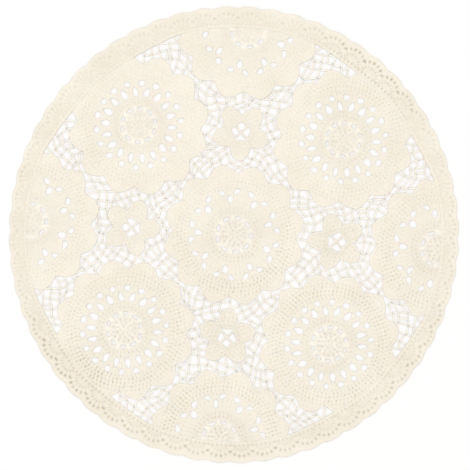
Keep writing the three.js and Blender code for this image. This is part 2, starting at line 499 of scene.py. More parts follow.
    def _relief(self, bench: NodeBench, fuzz: bpy.types.NodeSocket) -> bpy.types.NodeSocket:
        """Makes the relief of the plies and the loose fibres.

        Args:
            bench: where the nodes are added.
            fuzz: pattern of the fibres.

        Returns:
            The output with the normal.
        """
        yarn = bench.add("ShaderNodeUVMap", {}, uv_map="yarn").outputs["UV"]
        wave = {"Vector": yarn, "Scale": self.ply_scale, "Distortion": self.ply_sway, "Detail": 1.0}
        ply = bench.add("ShaderNodeTexWave", wave, bands_direction="DIAGONAL").outputs["Fac"]
        height = bench.add("ShaderNodeMath", {0: ply, 1: self.ply_share, 2: fuzz}, operation="MULTIPLY_ADD")
        bump = {"Strength": self.bump_share, "Distance": self.bump, "Height": height.outputs["Value"]}
        return bench.add("ShaderNodeBump", bump).outputs["Normal"]


@dataclass(frozen=True)
class HoleWeighting:
    """How strongly the stitch holes show over the mat, deeper and with darker painted shade: in waves, and
    more so towards the bottom.

    Attributes:
        span: unit of length for the changes.
        middle: how strongly they show in the middle, from 0 to about 1.
        rightwards: change over one span to the right.
        downwards: change over one span towards the bottom.
        swing: height of the waves.
        waves: turn of each wave over a span to the right and a span downwards, and its start, in radians.
        patch: middle of the patch where they show most.
        patch_size: its size.
        patch_weight: how much more they show there.
        limits: the least and the most.
    """

    span: float = 90 * MM
    middle: float = 0.58
    rightwards: float = 0.08
    downwards: float = 0.22
    swing: float = 0.09
    waves: tuple[tuple[float, float, float], ...] = ((2.3, 1.7, 0.6), (1.1, -2.9, 2.1), (0.9, 3.7, 0.0))
    patch: tuple[float, float] = (-108 * MM, -117 * MM)
    patch_size: float = 22 * MM
    patch_weight: float = 0.7
    limits: tuple[float, float] = (0.2, 1.5)

    def hole_weight(self, points: Array) -> Array:
        """Tells how strongly the stitch holes show at points of the mat, in depth and painted shade.

        Args:
            points: points of the plane.

        Returns:
            A value for each point, within the limits.
        """
        x, y = points[:, 0] / self.span, -points[:, 1] / self.span
        swing = sum(np.sin(right * x + down * y + start) for right, down, start in self.waves)
        hole_weight = self.middle + self.rightwards * x + self.downwards * y + self.swing * swing
        off = (points - self.patch) / self.patch_size
        return np.clip(hole_weight + self.patch_weight * spot(off[:, 0], off[:, 1]), *self.limits)


@dataclass(frozen=True)
class LobedEdge:
    """Edge of a motif: narrow lobes that meet in sharp cusps.

    Attributes:
        lobes: how many lobes.
        reach: radius at the middle of a lobe.
        cusp: radius where two lobes meet.
        first: angle of the first lobe, in degrees.
        sharpness: how narrow the lobes are, 1 for a plain wave.
    """

    lobes: int
    reach: float
    cusp: float
    first: float
    sharpness: float = 1.2

    def radius(self, angle: Array) -> Array:
        """Gives the radius of the edge at angles in radians."""
        turn = (angle - math.radians(self.first)) * self.lobes / 2
        return self.cusp + (self.reach - self.cusp) * np.abs(np.cos(turn)) ** self.sharpness

    def loop(self) -> Array:
        """Draws the edge round the origin."""
        angles = np.linspace(0, TURN, LOBE_STEPS * self.lobes, endpoint=False)
        return polar(self.radius(angles), angles)


@dataclass(frozen=True)
class StitchRound:
    """One worked round of a motif.

    Attributes:
        outer: radius where the round ends.
        posts: stitches in the round.
        rise: height of the stitches above the cloth.
        dots: how deep the stitch holes along its outer side are, from 0 to 1.
        shift: how far round its stitches are moved, in stitches.
    """

    outer: float
    posts: int
    rise: float
    dots: float = 0.0
    shift: float = 0.0


class Gaps(ABC):
    """Openings of a motif."""

    @abstractmethod
    def outlines(self) -> list[Array]:
        """Draws the openings round the motif's middle."""


@dataclass(frozen=True)
class GapRing(Gaps):
    """Ring of like openings.

    Attributes:
        count: how many.
        first: angle of the first, in degrees.
        inner: radius where an opening starts.
        outer: radius where it ends.
        width: its width.
        taper: how much wider it is towards its outer end.
        point: how pointed its ends are, 0 for an oval.
        sway: how much the openings differ in width and lean.
        fan: how much neighbours lean apart.
    """

    count: int
    first: float
    inner: float
    outer: float
    width: float
    taper: float = 0.0
    point: float = 0.0
    sway: float = 0.3
    fan: float = 0.0

    def outlines(self) -> list[Array]:
        """Draws the openings round the motif's middle.

        Returns:
            The outline of each opening.
        """
        turn = np.linspace(0, TURN, GAP_STEPS, endpoint=False)
        along = (self.inner + self.outer) / 2 + (self.outer - self.inner) / 2 * np.cos(turn)
        narrow = np.abs(np.sin(turn)) ** self.point * (1 + self.taper * np.cos(turn))
        across = self.width / 2 * np.sin(turn) * narrow
        gaps = []
        for index in range(self.count):
            angle = math.radians(self.first + 360 * index / self.count)
            wide = across * (1 + self.sway * uneven(index))
            apart = self.fan if index % 2 else -self.fan
            lean = (along - along.mean()) * (apart + self.sway * uneven(3 * index + 1))
            gaps.append(polar(along, angle + (wide + lean) / along))
        return gaps


@dataclass(frozen=True)
class CrossedEye(Gaps):
    """Four quarter openings between crossed bars.

    Attributes:
        radius: mean radius of the eye.
        swing: how far its edge swings in at the petals, and out between them.
        bar: width of the bars.
        petals: how many petals stand round it.
        first: angle of the first petal, in degrees; the first bar lies halfway to a right angle from it.
    """

    radius: float
    swing: float
    bar: float
    petals: int
    first: float

    def outlines(self) -> list[Array]:
        """Draws the openings round the motif's middle.

        Returns:
            The outline of each opening.
        """
        trim = math.asin(self.bar / 2 / self.radius)
        gaps = []
        for quarter in range(4):
            start = math.radians(self.first + 45 + 90 * quarter)
            end = start + TURN / 4
            inner = polar(self.bar / math.sqrt(2), np.array([(start + end) / 2]))
            angles = np.linspace(start + trim, end - trim, EYE_STEPS)
            edge = self.radius - self.swing * np.cos((angles - math.radians(self.first)) * self.petals)
            gaps.append(np.vstack([inner, polar(edge, angles)]))
        return gaps


class WorkedPiece(ABC):
    """A flat piece of worked cotton with rounded edges and raised stitches.

    Attributes:
        name: name of the piece.
        thickness: thickness of the cloth between its raised stitches.
        wall: height of the upright part of its edges.
        edge_round: width over which its edges are rounded.
        pit_depth: depth of a full stitch hole.
        underside: how deep the hollows of the under side are beside those of the top.
        edge_glow: width of the painted light along its edges.
        edge_light: how strong that painted light is, from 0 to 1.
    """

    name: str
    thickness: float = 1.2 * MM
    wall: float = 0.5 * MM
    edge_round: float = 0.8 * MM
    pit_depth: float = 0.7 * MM
    underside: float = 0.5
    edge_glow: float = 1.4 * MM
    edge_light: float = 0.2

    @abstractmethod
    def loops(self) -> list[Array]:
        """Draws the outline, and then the openings."""

    @abstractmethod
    def inner_points(self) -> Array:
        """Places mesh points on the stitches."""

    @abstractmethod
    def relief(self, points: Array, edge: Array) -> tuple[Array, Array]:
        """Gives the rise of the stitches and the depth into stitch holes at points of the plane.

        Args:
            points: points of the plane.
            edge: distance of each from the nearest edge.

        Returns:
            The rise in metres, and the depth from 0 to about 1, of each point; the depth also sets the
            painted shade.
        """

    @abstractmethod
    def painted_light_share(self, points: Array) -> Array:
        """Tells how much painted light the yarn gets at points of the plane, from 0 to 1."""

    @abstractmethod
    def stitch_map(self, points: Array) -> tuple[Array, int]:
        """Gives the place along the yarn at points of the plane, and the count of stitches round."""

    def sheet_size(self, points: Array) -> tuple[float, float]:
        """Gives the flat width and length of the piece."""
        width, length = np.ptp(points, axis=0)
        return float(width), float(length)

    def plan(self) -> tuple[Array, Array, Array]:
        """Meshes the piece in the plane.

        Returns:
            The points, the triangles, and the distance of each point from the nearest edge.
        """
        loops = [even_loop(loop, EDGE_SPACING) for loop in self.loops()]
        probe = np.vstack([even_loop(loop, EDGE_PROBE) for loop in loops])
        inner = self.inner_points()
        inner = inner[nearest_distance(inner, probe) > EDGE_CLEARANCE]
        inner = inner[self._covered(inner, loops)]
        points, triangles = triangulate(np.vstack([*loops, inner]), loop_edges(loops))
        triangles = triangles[self._covered(points[triangles].mean(axis=1), loops)]
        used, numbers = np.unique(triangles, return_inverse=True)
        points = points[used]
        return points, numbers.reshape(-1, 3), nearest_distance(points, probe)

    @staticmethod
    def _covered(points: Array, loops: list[Array]) -> Array:
        """Tells which points lie inside the outline and outside every opening.

        Args:
            points: points of the plane.
            loops: the outline, and then the openings.

        Returns:
            A truth value for each point.
        """
        covered = inside_loop(points, loops[0])
        for gap in loops[1:]:
            covered &= ~inside_loop(points, gap)
        return covered

    def _levels(self, edge: Array, rise: Array, pit_shade: Array) -> tuple[Array, Array]:
        """Gives the levels of the upper and the under side.

        Args:
            edge: distance of each point from the nearest edge.
            rise: rise of the stitches there.
            pit_shade: depth into stitch holes there, from 0 to about 1.

        Returns:
            The upper and the lower level at each point.
        """
        near = 1 - np.clip(edge / self.edge_round, 0, 1)
        full = np.sqrt(1 - near**2)
        middle = self.thickness / 2
        half = self.wall / 2 + (middle - self.wall / 2) * full
        sunk = self.pit_depth * pit_shade
        hollow = np.minimum(self.underside * (rise.max() - rise + sunk), middle / 2)
        return middle + half + (rise - sunk) * full, middle - half + hollow * full

    def build(
        self, material: bpy.types.Material, joined: tuple[bpy.types.Object, ...] = ()
    ) -> bpy.types.Object:
        """Args:
            material: finish of the piece.
            joined: not used.

        Returns:
            The finished piece.
        """
        points, triangles, edge = self.plan()
        rise, pit_shade = self.relief(points, edge)
        top, bottom = self._levels(edge, rise, pit_shade)
        upper, lower = np.column_stack([points, top]), np.column_stack([points, bottom])
        corners, faces = closed_shell(upper, lower, triangles)

        place, period = self.stitch_map(points)
        yarn = np.vstack([place, place])[faces]
        jump = yarn[:, :, 0] - yarn[:, :1, 0]
        yarn[:, :, 0] -= period * np.round(jump / period)
        # Painted light along the edges and where the piece adds its own, painted shade in the stitch holes.
        painted_light = np.maximum(self.painted_light_share(points), self.edge_light * (1 - np.clip(edge / self.edge_glow, 0, 1)))
        tones = {"pit_shade": np.concatenate([pit_shade, pit_shade]), "painted_light": np.concatenate([painted_light, painted_light])}
        piece = cloth_object(self.name, corners, faces, yarn, tones, material)
        seat(piece)

        return piece


@dataclass
class ScallopedBorder(WorkedPiece):
    """The worked border: a shell of posts in each scallop of the rim.

    Attributes:
        width: width of the mat.
        length: length of the mat.
        name: name of the piece.
        scallops: how many shells.
        scallop_rise: how far a scallop stands out from the cusps beside it.
        inner_radius: radius of the inner edge.
        swell: how far the inner edge swells inwards between the medallions.
        swell_span: where it swells, as angles from the nearest axis of the mat.
        shell_base: radius of the point that the posts of a shell spread from.
        shell_reach: length of the posts.
        post_angle: angle between posts of a shell.
        side_posts: most posts on each side of a shell's middle.
        post_numbers: numbers kept for the posts of each shell, more than it has posts.
        line_gap: width kept free of mesh points beside the line between two shells.
        foot: width of the plain rounds along the inner edge.
        foot_posts: stitches of those rounds in each shell.
        rise: height of the stitches.
        low_shell: height between the posts of a shell, as a share of theirs.
        low_rim: height between the posts of the corded rim, as a share of theirs.
        low_foot: height between the stitches of the plain rounds, as a share of theirs.
        cord: width of the corded rim.
        cord_posts: posts of the corded rim to one post of a shell.
        groove: how deep the painted shade between posts is, and how far the cloth sinks there, from 0 to 1.
        rimward_dark: how much darker and lower the shells grow towards the rim, from 0 to 1.
        edge_light: how strong the painted light along the edges is, from 0 to 1.
        rim_light: how strong the painted light on the corded rim is, from 0 to 1.
        dot_size: half the width and half the length of a stitch hole.
        faintest: depth of the faintest stitch holes, as a share of the deepest.
        inner_row: place of a second row of stitch holes, as a share of the posts' length.
        inner_dots: how deep the stitch holes of that row are, from 0 to 1.
        foot_dots: how deep the stitch holes along the plain rounds are, from 0 to 1.
        hand: how strongly the stitch holes show over the mat, in depth and painted shade.
        weighting_share: how much of that the border shows.
        least_weight: how strongly its stitch holes show where they show least.
        most_weight: how strongly they show where they show most.
        deepest_holes: directions in which its stitch holes are deepest, with the darkest painted shade.
        deep_span: half the angle of each such stretch.
    """

    width: float
    length: float
    name: str = "scalloped_border"
    scallops: int = 60
    scallop_rise: float = 1.7 * MM
    inner_radius: float = 173.5 * MM
    swell: float = 3.2 * MM
    swell_span: tuple[float, float] = (math.radians(20), math.radians(50))
    shell_base: float = 173.0 * MM
    shell_reach: float = 12.5 * MM
    post_angle: float = math.radians(18.5)
    side_posts: int = 7
    post_numbers: int = 20
    line_gap: float = 0.3 * MM
    foot: float = 3.0 * MM
    foot_posts: int = 5
    rise: float = 0.35 * MM
    low_shell: float = 0.3
    low_rim: float = 0.6
    low_foot: float = 0.5
    cord: float = 3.0 * MM
    cord_posts: float = 1.5
    groove: float = 0.14
    rimward_dark: float = 0.055
    edge_light: float = 0.0
    rim_light: float = 0.12
    dot_size: tuple[float, float] = (0.95 * MM, 1.3 * MM)
    faintest: float = 0.6
    inner_row: float = 0.62
    inner_dots: float = 0.5
    foot_dots: float = 0.5
    hand: HoleWeighting = HoleWeighting()
    weighting_share: float = 0.8
    least_weight: float = 0.4
    most_weight: float = 1.1
    deepest_holes: tuple[float, ...] = (math.radians(55.5), math.radians(222))
    deep_span: float = math.radians(12)

    def rim_radius(self, angle: Array) -> Array:
        """Gives the radius of the slightly oval, scalloped rim at angles in radians."""
        oval = np.hypot(np.cos(angle) * 2 / self.width, np.sin(angle) * 2 / self.length)
        return 1 / oval - self.scallop_rise * (1 - np.abs(np.cos(angle * self.scallops / 2)))

    def inner_edge(self, angle: Array) -> Array:
        """Gives the radius of the inner edge.

        Args:
            angle: angles in radians.

        Returns:
            A radius for each angle.
        """
        quarter = TURN / 4
        from_axis = np.abs(angle - quarter * np.round(angle / quarter))
        start, end = self.swell_span
        share = np.clip((from_axis - start) / (end - start), 0, 1)
        return self.inner_radius - self.swell * np.sin(math.pi * share)

    def loops(self) -> list[Array]:
        """Draws the rim and the inner edge."""
        angles = np.linspace(0, TURN, SCALLOP_STEPS * self.scallops, endpoint=False)
        return [polar(self.rim_radius(angles), angles), polar(self.inner_edge(angles), angles)]

    def inner_points(self) -> Array:
        """Places mesh points on the posts of the shells, between them and in the swells.

        Returns:
            The points.
        """
        half = math.pi / self.scallops
        rings = []
        for reach in np.arange(INNER_SPACING, 2 * self.shell_reach, INNER_SPACING):
            columns = max(1, 2 * round(self.post_angle * reach / INNER_SPACING / 2))
            most = self.side_posts * columns
            spread = np.arange(-most, most + 1) * self.post_angle / columns
            rings.append(polar(reach, spread) + (self.shell_base, 0.0))
        shell = np.vstack(rings)
        shell = shell[np.abs(to_polar(shell)[1]) < half - self.line_gap / self.inner_radius]
        past_rim = self.inner_radius + 2 * self.shell_reach
        line = polar(np.arange(self.inner_radius, past_rim, INNER_SPACING), half)
        shell = np.vstack([shell, line])
        shells = [turned(shell, 2 * half * index) for index in range(self.scallops)]
        steps = round(TURN * self.inner_radius / INNER_SPACING)
        angles = np.arange(steps) * TURN / steps
        depths = np.arange(0, self.swell, INNER_SPACING)
        return np.vstack([*shells, *(polar(self.inner_radius - depth, angles) for depth in depths)])

    def _shell(self, points: Array) -> tuple[Array, Array]:
        """Gives the distance and angle of points from the base of their shell.

        Args:
            points: points of the plane.

        Returns:
            The distances and the angles.
        """
        radius, angle = to_polar(points)
        part = TURN / self.scallops
        off = angle - part * np.round(angle / part)
        ahead, aside = radius * np.cos(off) - self.shell_base, radius * np.sin(off)
        return np.hypot(ahead, aside), np.arctan2(aside, ahead)

    def relief(self, points: Array, edge: Array) -> tuple[Array, Array]:
        """Raises the posts of the shells, the plain rounds and the corded rim.

        Args:
            points: points of the plane.
            edge: distance of each from the nearest edge.

        Returns:
            The rise in metres, and the depth from 0 to about 1, of each point; the depth also sets the
            painted shade.
        """
        reach, spread = self._shell(points)
        radius, angle = to_polar(points)
        post = spread / self.post_angle
        stitch = angle * self.foot_posts * self.scallops / TURN
        along = np.clip(reach / self.shell_reach, 0, 1)
        from_rim = np.clip(edge / self.cord, 0, 1)
        from_foot = (radius - self.inner_edge(angle)) / self.foot
        crest = post_height(post)

        shell = arch(along) * raised(self.low_shell, crest)
        rim = arch(from_rim) * raised(self.low_rim, post_height(self.cord_posts * post))
        plain = arch(from_foot) * raised(self.low_foot, post_height(stitch))
        height = np.where(from_foot < 1, plain, np.where(reach > self.shell_reach, rim, shell))
        # Painted shade between the posts and darker towards the rim, joined with the stitch holes into one
        # depth that also sinks the cloth.
        groove = self.rimward_dark * along + self.groove * (1 - crest) * arch(along) ** 2 * (from_foot > 1)
        pit_shade = self._holes(points, reach, post, from_foot) * self._hole_weight(points)
        return self.rise * height, np.maximum(pit_shade, groove)

    def _holes(self, points: Array, reach: Array, post: Array, from_foot: Array) -> Array:
        """Gives the depth into the stitch holes of the shells and of the plain rounds, which also sets their
        painted shade.

        Args:
            points: points of the plane.
            reach: distance of each from the base of its shell.
            post: place of each among the posts of its shell.
            from_foot: distance of each from the inner edge, as a share of the plain rounds' width.

        Returns:
            The depth at each point, from 0 to 1.
        """
        radius, angle = to_polar(points)
        wide, long = self.dot_size
        number = np.floor(post) + self.post_numbers * np.round(angle * self.scallops / TURN)
        drawn = raised(self.faintest, scatter(number, 0.0))
        aside = (post % 1 - 0.5) * self.post_angle * reach / wide
        outer = drawn * spot(aside, (reach - self.shell_reach) / long)
        inner = self.inner_dots * drawn * spot(aside, (reach - self.inner_row * self.shell_reach) / long)
        count = self.foot_posts * self.scallops
        beside = (angle * count / TURN % 1 - 0.5) * TURN * radius / count / wide
        plain = self.foot_dots * spot(beside, (from_foot - 1) * self.foot / long)
        return np.maximum.reduce([outer, inner * (from_foot > 1), plain])

    def _hole_weight(self, points: Array) -> Array:
        """Tells how strongly the border's stitch holes show, in depth and painted shade.

        Args:
            points: points of the plane.

        Returns:
            A value for each point.
        """
        _, angle = to_polar(points)
        hole_weight = np.maximum(self.weighting_share * self.hand.hole_weight(points), self.least_weight)
        for middle in self.deepest_holes:
            off = (angle - middle + math.pi) % TURN - math.pi
            hole_weight = hole_weight + spot(off / self.deep_span)
        return np.minimum(hole_weight, self.most_weight)

    def painted_light_share(self, points: Array) -> Array:
        """Tells how much painted light the yarn gets: only along the rim.

        Args:
            points: points of the plane.

        Returns:
            A value from 0 to 1 for each point.
        """
        radius, angle = to_polar(points)
        depth = self.rim_radius(angle) - radius
        return self.rim_light * (1 - np.clip(depth / self.cord, 0, 1))

    def stitch_map(self, points: Array) -> tuple[Array, int]:
        """Runs the yarn round the mat, with one stitch of the plain rounds as the unit.

        Args:
            points: points of the plane.

        Returns:
            The place of each point along the yarn, and the count of stitches round.
        """
        radius, angle = to_polar(points)
        count = self.foot_posts * self.scallops
        stitch = TURN * self.inner_radius / count
        return np.column_stack([angle * count / TURN, radius / stitch]), count

    def sheet_size(self, points: Array) -> tuple[float, float]:
        """Gives the border's size as a strip: its width, and its length along the rim."""
        outer = max(self.width, self.length) / 2
        return outer - self.inner_radius, TURN * outer


@dataclass
class Motif(WorkedPiece):
    """A round motif of the lace.

    Attributes:
        name: name of the piece.
        centre: place of its middle.
        edge: its lobed edge.
        rounds: its worked rounds, from the middle outwards.
        gaps: its openings.
        anchors: how many bars of the ground are joined on round it.
        border: the border that covers its outer part.
        hub: radius of the hub, which gets painted light, 0 for none.
        hub_light: how strong the painted light on the hub is, from 0 to 1.
        hub_ring: radius of a ring of stronger painted light in the hub, as a share of the hub.
        ring_light: how much stronger the painted light of that ring is, from 0 to 1.
        tuck: how far it runs on under the border.
        sink: how far it sinks there.
        sink_lead: how far before the border it starts to sink.
        sink_span: width over which it sinks.
        low_post: height between the posts of a round, as a share of theirs.
        groove: how deep the painted shade between posts is, and how far the cloth sinks there, from 0 to 1.
        dot_size: half the width and half the length of a stitch hole.
        faintest: depth of the faintest stitch holes of a round, as a share of the deepest.
        cord: width of the corded edge.
        cord_rise: height of the corded edge.
        cord_dots: how deep the stitch holes along the corded edge are, from 0 to 1.
        hand: how strongly the stitch holes show over the mat, in depth and painted shade.
    """

    name: str
    centre: Array
    edge: LobedEdge
    rounds: tuple[StitchRound, ...]
    gaps: tuple[Gaps, ...]
    anchors: int
    border: ScallopedBorder
    hub: float = 0.0
    hub_light: float = 0.12
    hub_ring: float = 0.78
    ring_light: float = 0.35
    tuck: float = 4.0 * MM
    sink: float = 0.5 * MM
    sink_lead: float = 0.3 * MM
    sink_span: float = 1.5 * MM
    low_post: float = 0.35
    groove: float = 0.08
    dot_size: tuple[float, float] = (0.62 * MM, 1.0 * MM)
    faintest: float = 0.4
    cord: float = 2.6 * MM
    cord_rise: float = 0.25 * MM
    cord_dots: float = 0.3
    hand: HoleWeighting = HoleWeighting()

    def around(self, points: Array) -> tuple[Array, Array]:
        """Gives the radius and angle of points round the motif's middle."""
        return to_polar(points - self.centre)

    def loops(self) -> list[Array]:
        """Draws the edge, cut off under the border, and the openings that stay in sight.

        Returns:
            The outline, and then the openings.
        """
        loop = self.edge.loop() + self.centre
        hem = self.border.inner_radius + self.tuck
        hidden = np.linalg.norm(loop, axis=1) > hem
        if hidden.any():
            first = np.flatnonzero(~hidden & np.roll(hidden, 1))[0]
            kept = np.roll(loop, -first, axis=0)[np.roll(~hidden, -first)]
            end, start = to_polar(kept[[-1, 0]])[1]
            sweep = (start - end) % TURN
            loop = np.vstack([kept, polar(hem, end + np.linspace(0, sweep, HEM_STEPS))])
        gaps = [gap + self.centre for ring in self.gaps for gap in ring.outlines()]
        sight = self.border.inner_radius - self.wall
        return [loop, *(gap for gap in gaps if np.linalg.norm(gap, axis=1).max() < sight)]

    def inner_points(self) -> Array:
        """Places mesh points in rings, with columns on the posts and between them.

        Returns:
            The points.
        """
        rings = [np.zeros((1, 2))]
        inner = 0.0
        for line in self.rounds:
            steps = max(1, round((line.outer - inner) / INNER_SPACING))
            radii = np.linspace(inner, line.outer, steps, endpoint=False)
            for radius in radii[radii > 0]:
                wanted = TURN * radius / (line.posts * INNER_SPACING)
                columns = line.posts * max(1, 2 * round(wanted / 2)) if wanted > 1 else line.posts
                rings.append(polar(radius, np.arange(columns) * TURN / columns))
            inner = line.outer
        return np.vstack(rings) + self.centre

    def relief(self, points: Array, edge: Array) -> tuple[Array, Array]:
        """Raises the posts of each round, sinks the stitch holes and paints shade into them, and lowers what
        the border covers.

        Args:
            points: points of the plane.
            edge: distance of each from the nearest edge.

        Returns:
            The rise in metres, and the depth from 0 to about 1, of each point.
        """
        radius, angle = self.around(points)
        outer = np.array([line.outer for line in self.rounds])
        number = np.minimum(np.searchsorted(outer, radius), len(outer) - 1)
        start = np.concatenate([[0.0], outer])[number]
        along = np.clip((radius - start) / (outer[number] - start), 0, 1)
        posts = np.array([line.posts for line in self.rounds])[number]
        shift = np.array([line.shift for line in self.rounds])[number]
        height = np.array([line.rise for line in self.rounds])[number]
        crest = post_height(angle * posts / TURN + shift)
        from_edge = np.clip(edge / self.cord, 0, 1)
        post = height * arch(along) * raised(self.low_post, crest)
        rise = np.where(from_edge < 1, self.cord_rise * arch(from_edge), post)
        # Painted shade between the posts and in the stitch holes, weighted over the mat; the same depth
        # sinks the cloth.
        groove = self.groove * (1 - crest) * arch(along) ** 2
        pit_shade = np.maximum(self._holes(radius, angle, edge), groove) * self.hand.hole_weight(points)
        under = self._under_border(points)
        return rise * (1 - under) - self.sink * under, pit_shade * (1 - under)

    def _under_border(self, points: Array) -> Array:
        """Tells how far the cloth has sunk to run under the border.

        Args:
            points: points of the plane.

        Returns:
            A share from 0 to 1 for each point.
        """
        radius, angle = to_polar(points)
        covered = radius - self.border.inner_edge(angle)
        return np.clip((covered + self.sink_lead) / self.sink_span, 0, 1)

    def _holes(self, radius: Array, angle: Array, edge: Array) -> Array:
        """Gives the depth into the stitch holes along the rounds and along the corded edge, which also sets
        their painted shade.

        Args:
            radius: radius of each point round the motif's middle.
            angle: its angle there.
            edge: its distance from the nearest edge.

        Returns:
            The depth at each point, from 0 to 1.
        """
        wide, long = self.dot_size
        pit_shade = np.zeros(len(radius))
        for number, line in enumerate(self.rounds):
            turn = angle * line.posts / TURN + line.shift
            drawn = raised(self.faintest, scatter(np.floor(turn) % line.posts, number))
            aside = (turn % 1 - 0.5) * TURN * radius / line.posts
            pit_shade = np.maximum(pit_shade, line.dots * drawn * spot(aside / wide, (radius - line.outer) / long))
        count = self.rounds[-1].posts
        aside = (angle * count / TURN % 1 - 0.5) * TURN * radius / count
        at_edge = radius > self.edge.cusp - 2 * self.cord
        return np.maximum(pit_shade, self.cord_dots * at_edge * spot(aside / wide, (edge - self.cord) / wide))

    def painted_light_share(self, points: Array) -> Array:
        """Tells how much painted light the yarn gets: only in the hub.

        Args:
            points: points of the plane.

        Returns:
            A value from 0 to 1 for each point.
        """
        radius, _ = self.around(points)
        inside = np.clip((self.hub - radius) / self.cord, 0, 1)
        ring = spot((radius - self.hub_ring * self.hub) / self.cord)
        return (self.hub_light + self.ring_light * ring) * inside

    def stitch_map(self, points: Array) -> tuple[Array, int]:
        """Runs the yarn round the motif, with one stitch of the outer round as the unit.

        Args:
            points: points of the plane.

        Returns:
            The place of each point along the yarn, and the count of stitches round.
        """
        radius, angle = self.around(points)
        count = self.rounds[-1].posts
        stitch = TURN * self.edge.cusp / count
        return np.column_stack([angle * count / TURN, radius / stitch]), count


@dataclass
class LaceLayout:
    """Places of the motifs on a square lattice that stands on its corner.

    Attributes:
        border: the border that the motifs reach.
        spacing: distance between the middles of neighbouring medallions.
        close_gaps: openings of a medallion with a close wheel.
        petal_gaps: openings of a medallion with a petal wheel.
        medallion_edge: lobed edge of a medallion.
        medallion_hub: radius of its hub, which gets painted light.
        medallion_anchors: how many bars of the ground are joined on round it.
        medallion_rounds: its worked rounds.
        rosette_edge: lobed edge of a rosette whose first petal points to the right.
        rosette_eye: its crossed eye.
        rosette_anchors: how many bars of the ground are joined on round it.
        rosette_rounds: its worked rounds.
    """

    border: ScallopedBorder
    spacing: float = 121.6 * MM
    close_gaps: tuple[GapRing, ...] = (
        GapRing(10, 18, 12.8 * MM, 15.4 * MM, 5.2 * MM),
        GapRing(18, 0, 23.8 * MM, 32.4 * MM, 4.8 * MM, taper=-0.3, point=0.2),
        GapRing(18, 10, 32.4 * MM, 37.8 * MM, 5.4 * MM, taper=0.4, point=0.2),
    )
    petal_gaps: tuple[GapRing, ...] = (
        GapRing(9, 0, 13.0 * MM, 15.6 * MM, 6.2 * MM),
        GapRing(9, 20, 26.2 * MM, 33.4 * MM, 5.0 * MM, taper=0.25),
        GapRing(18, 10, 33.4 * MM, 38.6 * MM, 5.2 * MM, taper=0.35, fan=0.45),
    )
    medallion_edge: LobedEdge = LobedEdge(12, 59.0 * MM, 51.6 * MM, 15)
    medallion_hub: float = 18.0 * MM
    medallion_anchors: int = 24
    medallion_rounds: tuple[StitchRound, ...] = (
        StitchRound(3.2 * MM, 5, 0.4 * MM, dots=0.9),
        StitchRound(6.4 * MM, 9, 0.45 * MM, dots=1.0, shift=0.5),
        StitchRound(9.4 * MM, 14, 0.45 * MM, dots=1.0),
        StitchRound(12.0 * MM, 20, 0.35 * MM, dots=0.7),
        StitchRound(16.2 * MM, 30, 0.3 * MM, dots=0.4),
        StitchRound(19.4 * MM, 36, 0.35 * MM, dots=0.5),
        StitchRound(22.6 * MM, 42, 0.35 * MM, dots=0.5, shift=0.5),
        StitchRound(32.7 * MM, 54, 0.3 * MM, dots=0.4),
        StitchRound(38.6 * MM, 72, 0.25 * MM, dots=0.5),
        StitchRound(41.4 * MM, 78, 0.3 * MM, dots=0.75),
        StitchRound(44.6 * MM, 84, 0.35 * MM, dots=0.8, shift=0.5),
        StitchRound(47.8 * MM, 90, 0.35 * MM, dots=0.75, shift=0.2),
        StitchRound(51.0 * MM, 96, 0.35 * MM, dots=0.55, shift=0.7),
        StitchRound(59.2 * MM, 104, 0.3 * MM, shift=0.5),
    )
    rosette_edge: LobedEdge = LobedEdge(5, 24.0 * MM, 14.4 * MM, 0)
    rosette_eye: CrossedEye = CrossedEye(7.4 * MM, 0.9 * MM, 1.7 * MM, 5, 0)
    rosette_anchors: int = 10
    rosette_rounds: tuple[StitchRound, ...] = (
        StitchRound(7.4 * MM, 10, 0.0),
        StitchRound(10.4 * MM, 19, 0.3 * MM, dots=0.4),
        StitchRound(13.6 * MM, 24, 0.35 * MM, dots=0.45, shift=0.5),
        StitchRound(16.8 * MM, 30, 0.35 * MM, dots=0.45, shift=0.2),
        StitchRound(20.0 * MM, 36, 0.35 * MM, dots=0.35, shift=0.7),
        StitchRound(24.2 * MM, 44, 0.3 * MM),
    )

    def medallion(self, name: str, centre: Array, wheel: Wheel) -> Motif:
        """Sets out one wheel medallion.

        Args:
            name: name of the piece.
            centre: place of its middle.
            wheel: how its open wheel is worked.

        Returns:
            The medallion.
        """
        return Motif(
            name,
            centre,
            self.medallion_edge,
            self.medallion_rounds,
            self.close_gaps if wheel is Wheel.CLOSE else self.petal_gaps,
            self.medallion_anchors,
            self.border,
            hub=self.medallion_hub,
        )

    def rosette(self, name: str, centre: Array, first: float) -> Motif:
        """Sets out one small rosette.

        Args:
            name: name of the piece.
            centre: place of its middle.
            first: angle of the petal that points to the middle of the mat, in degrees.

        Returns:
            The rosette.
        """
        edge = replace(self.rosette_edge, first=first)
        eye = (replace(self.rosette_eye, first=first),)
        return Motif(name, centre, edge, self.rosette_rounds, eye, self.rosette_anchors, self.border)

    def motifs(self) -> list[Motif]:
        """Sets out every motif: petal wheels on the axes and in the middle, close wheels between.

        Returns:
            The motifs: the one in the middle, and then those of each quarter.
        """
        half = self.spacing / math.sqrt(2)
        placed = [self.medallion("medallion_middle", np.zeros(2), Wheel.PETAL)]
        sides = ("right", "top", "left", "bottom")
        corners = ("upper_right", "upper_left", "lower_left", "lower_right")
        for quarter, (side, corner) in enumerate(zip(sides, corners)):
            axis = math.radians(90 * quarter)
            between = polar(self.spacing, axis + math.radians(45))
            placed.append(self.medallion(f"medallion_{corner}", between, Wheel.CLOSE))
            placed.append(self.medallion(f"medallion_{side}", polar(2 * half, axis), Wheel.PETAL))
            placed.append(self.rosette(f"rosette_{side}", polar(half, axis), 180 + 90 * quarter))
        return placed


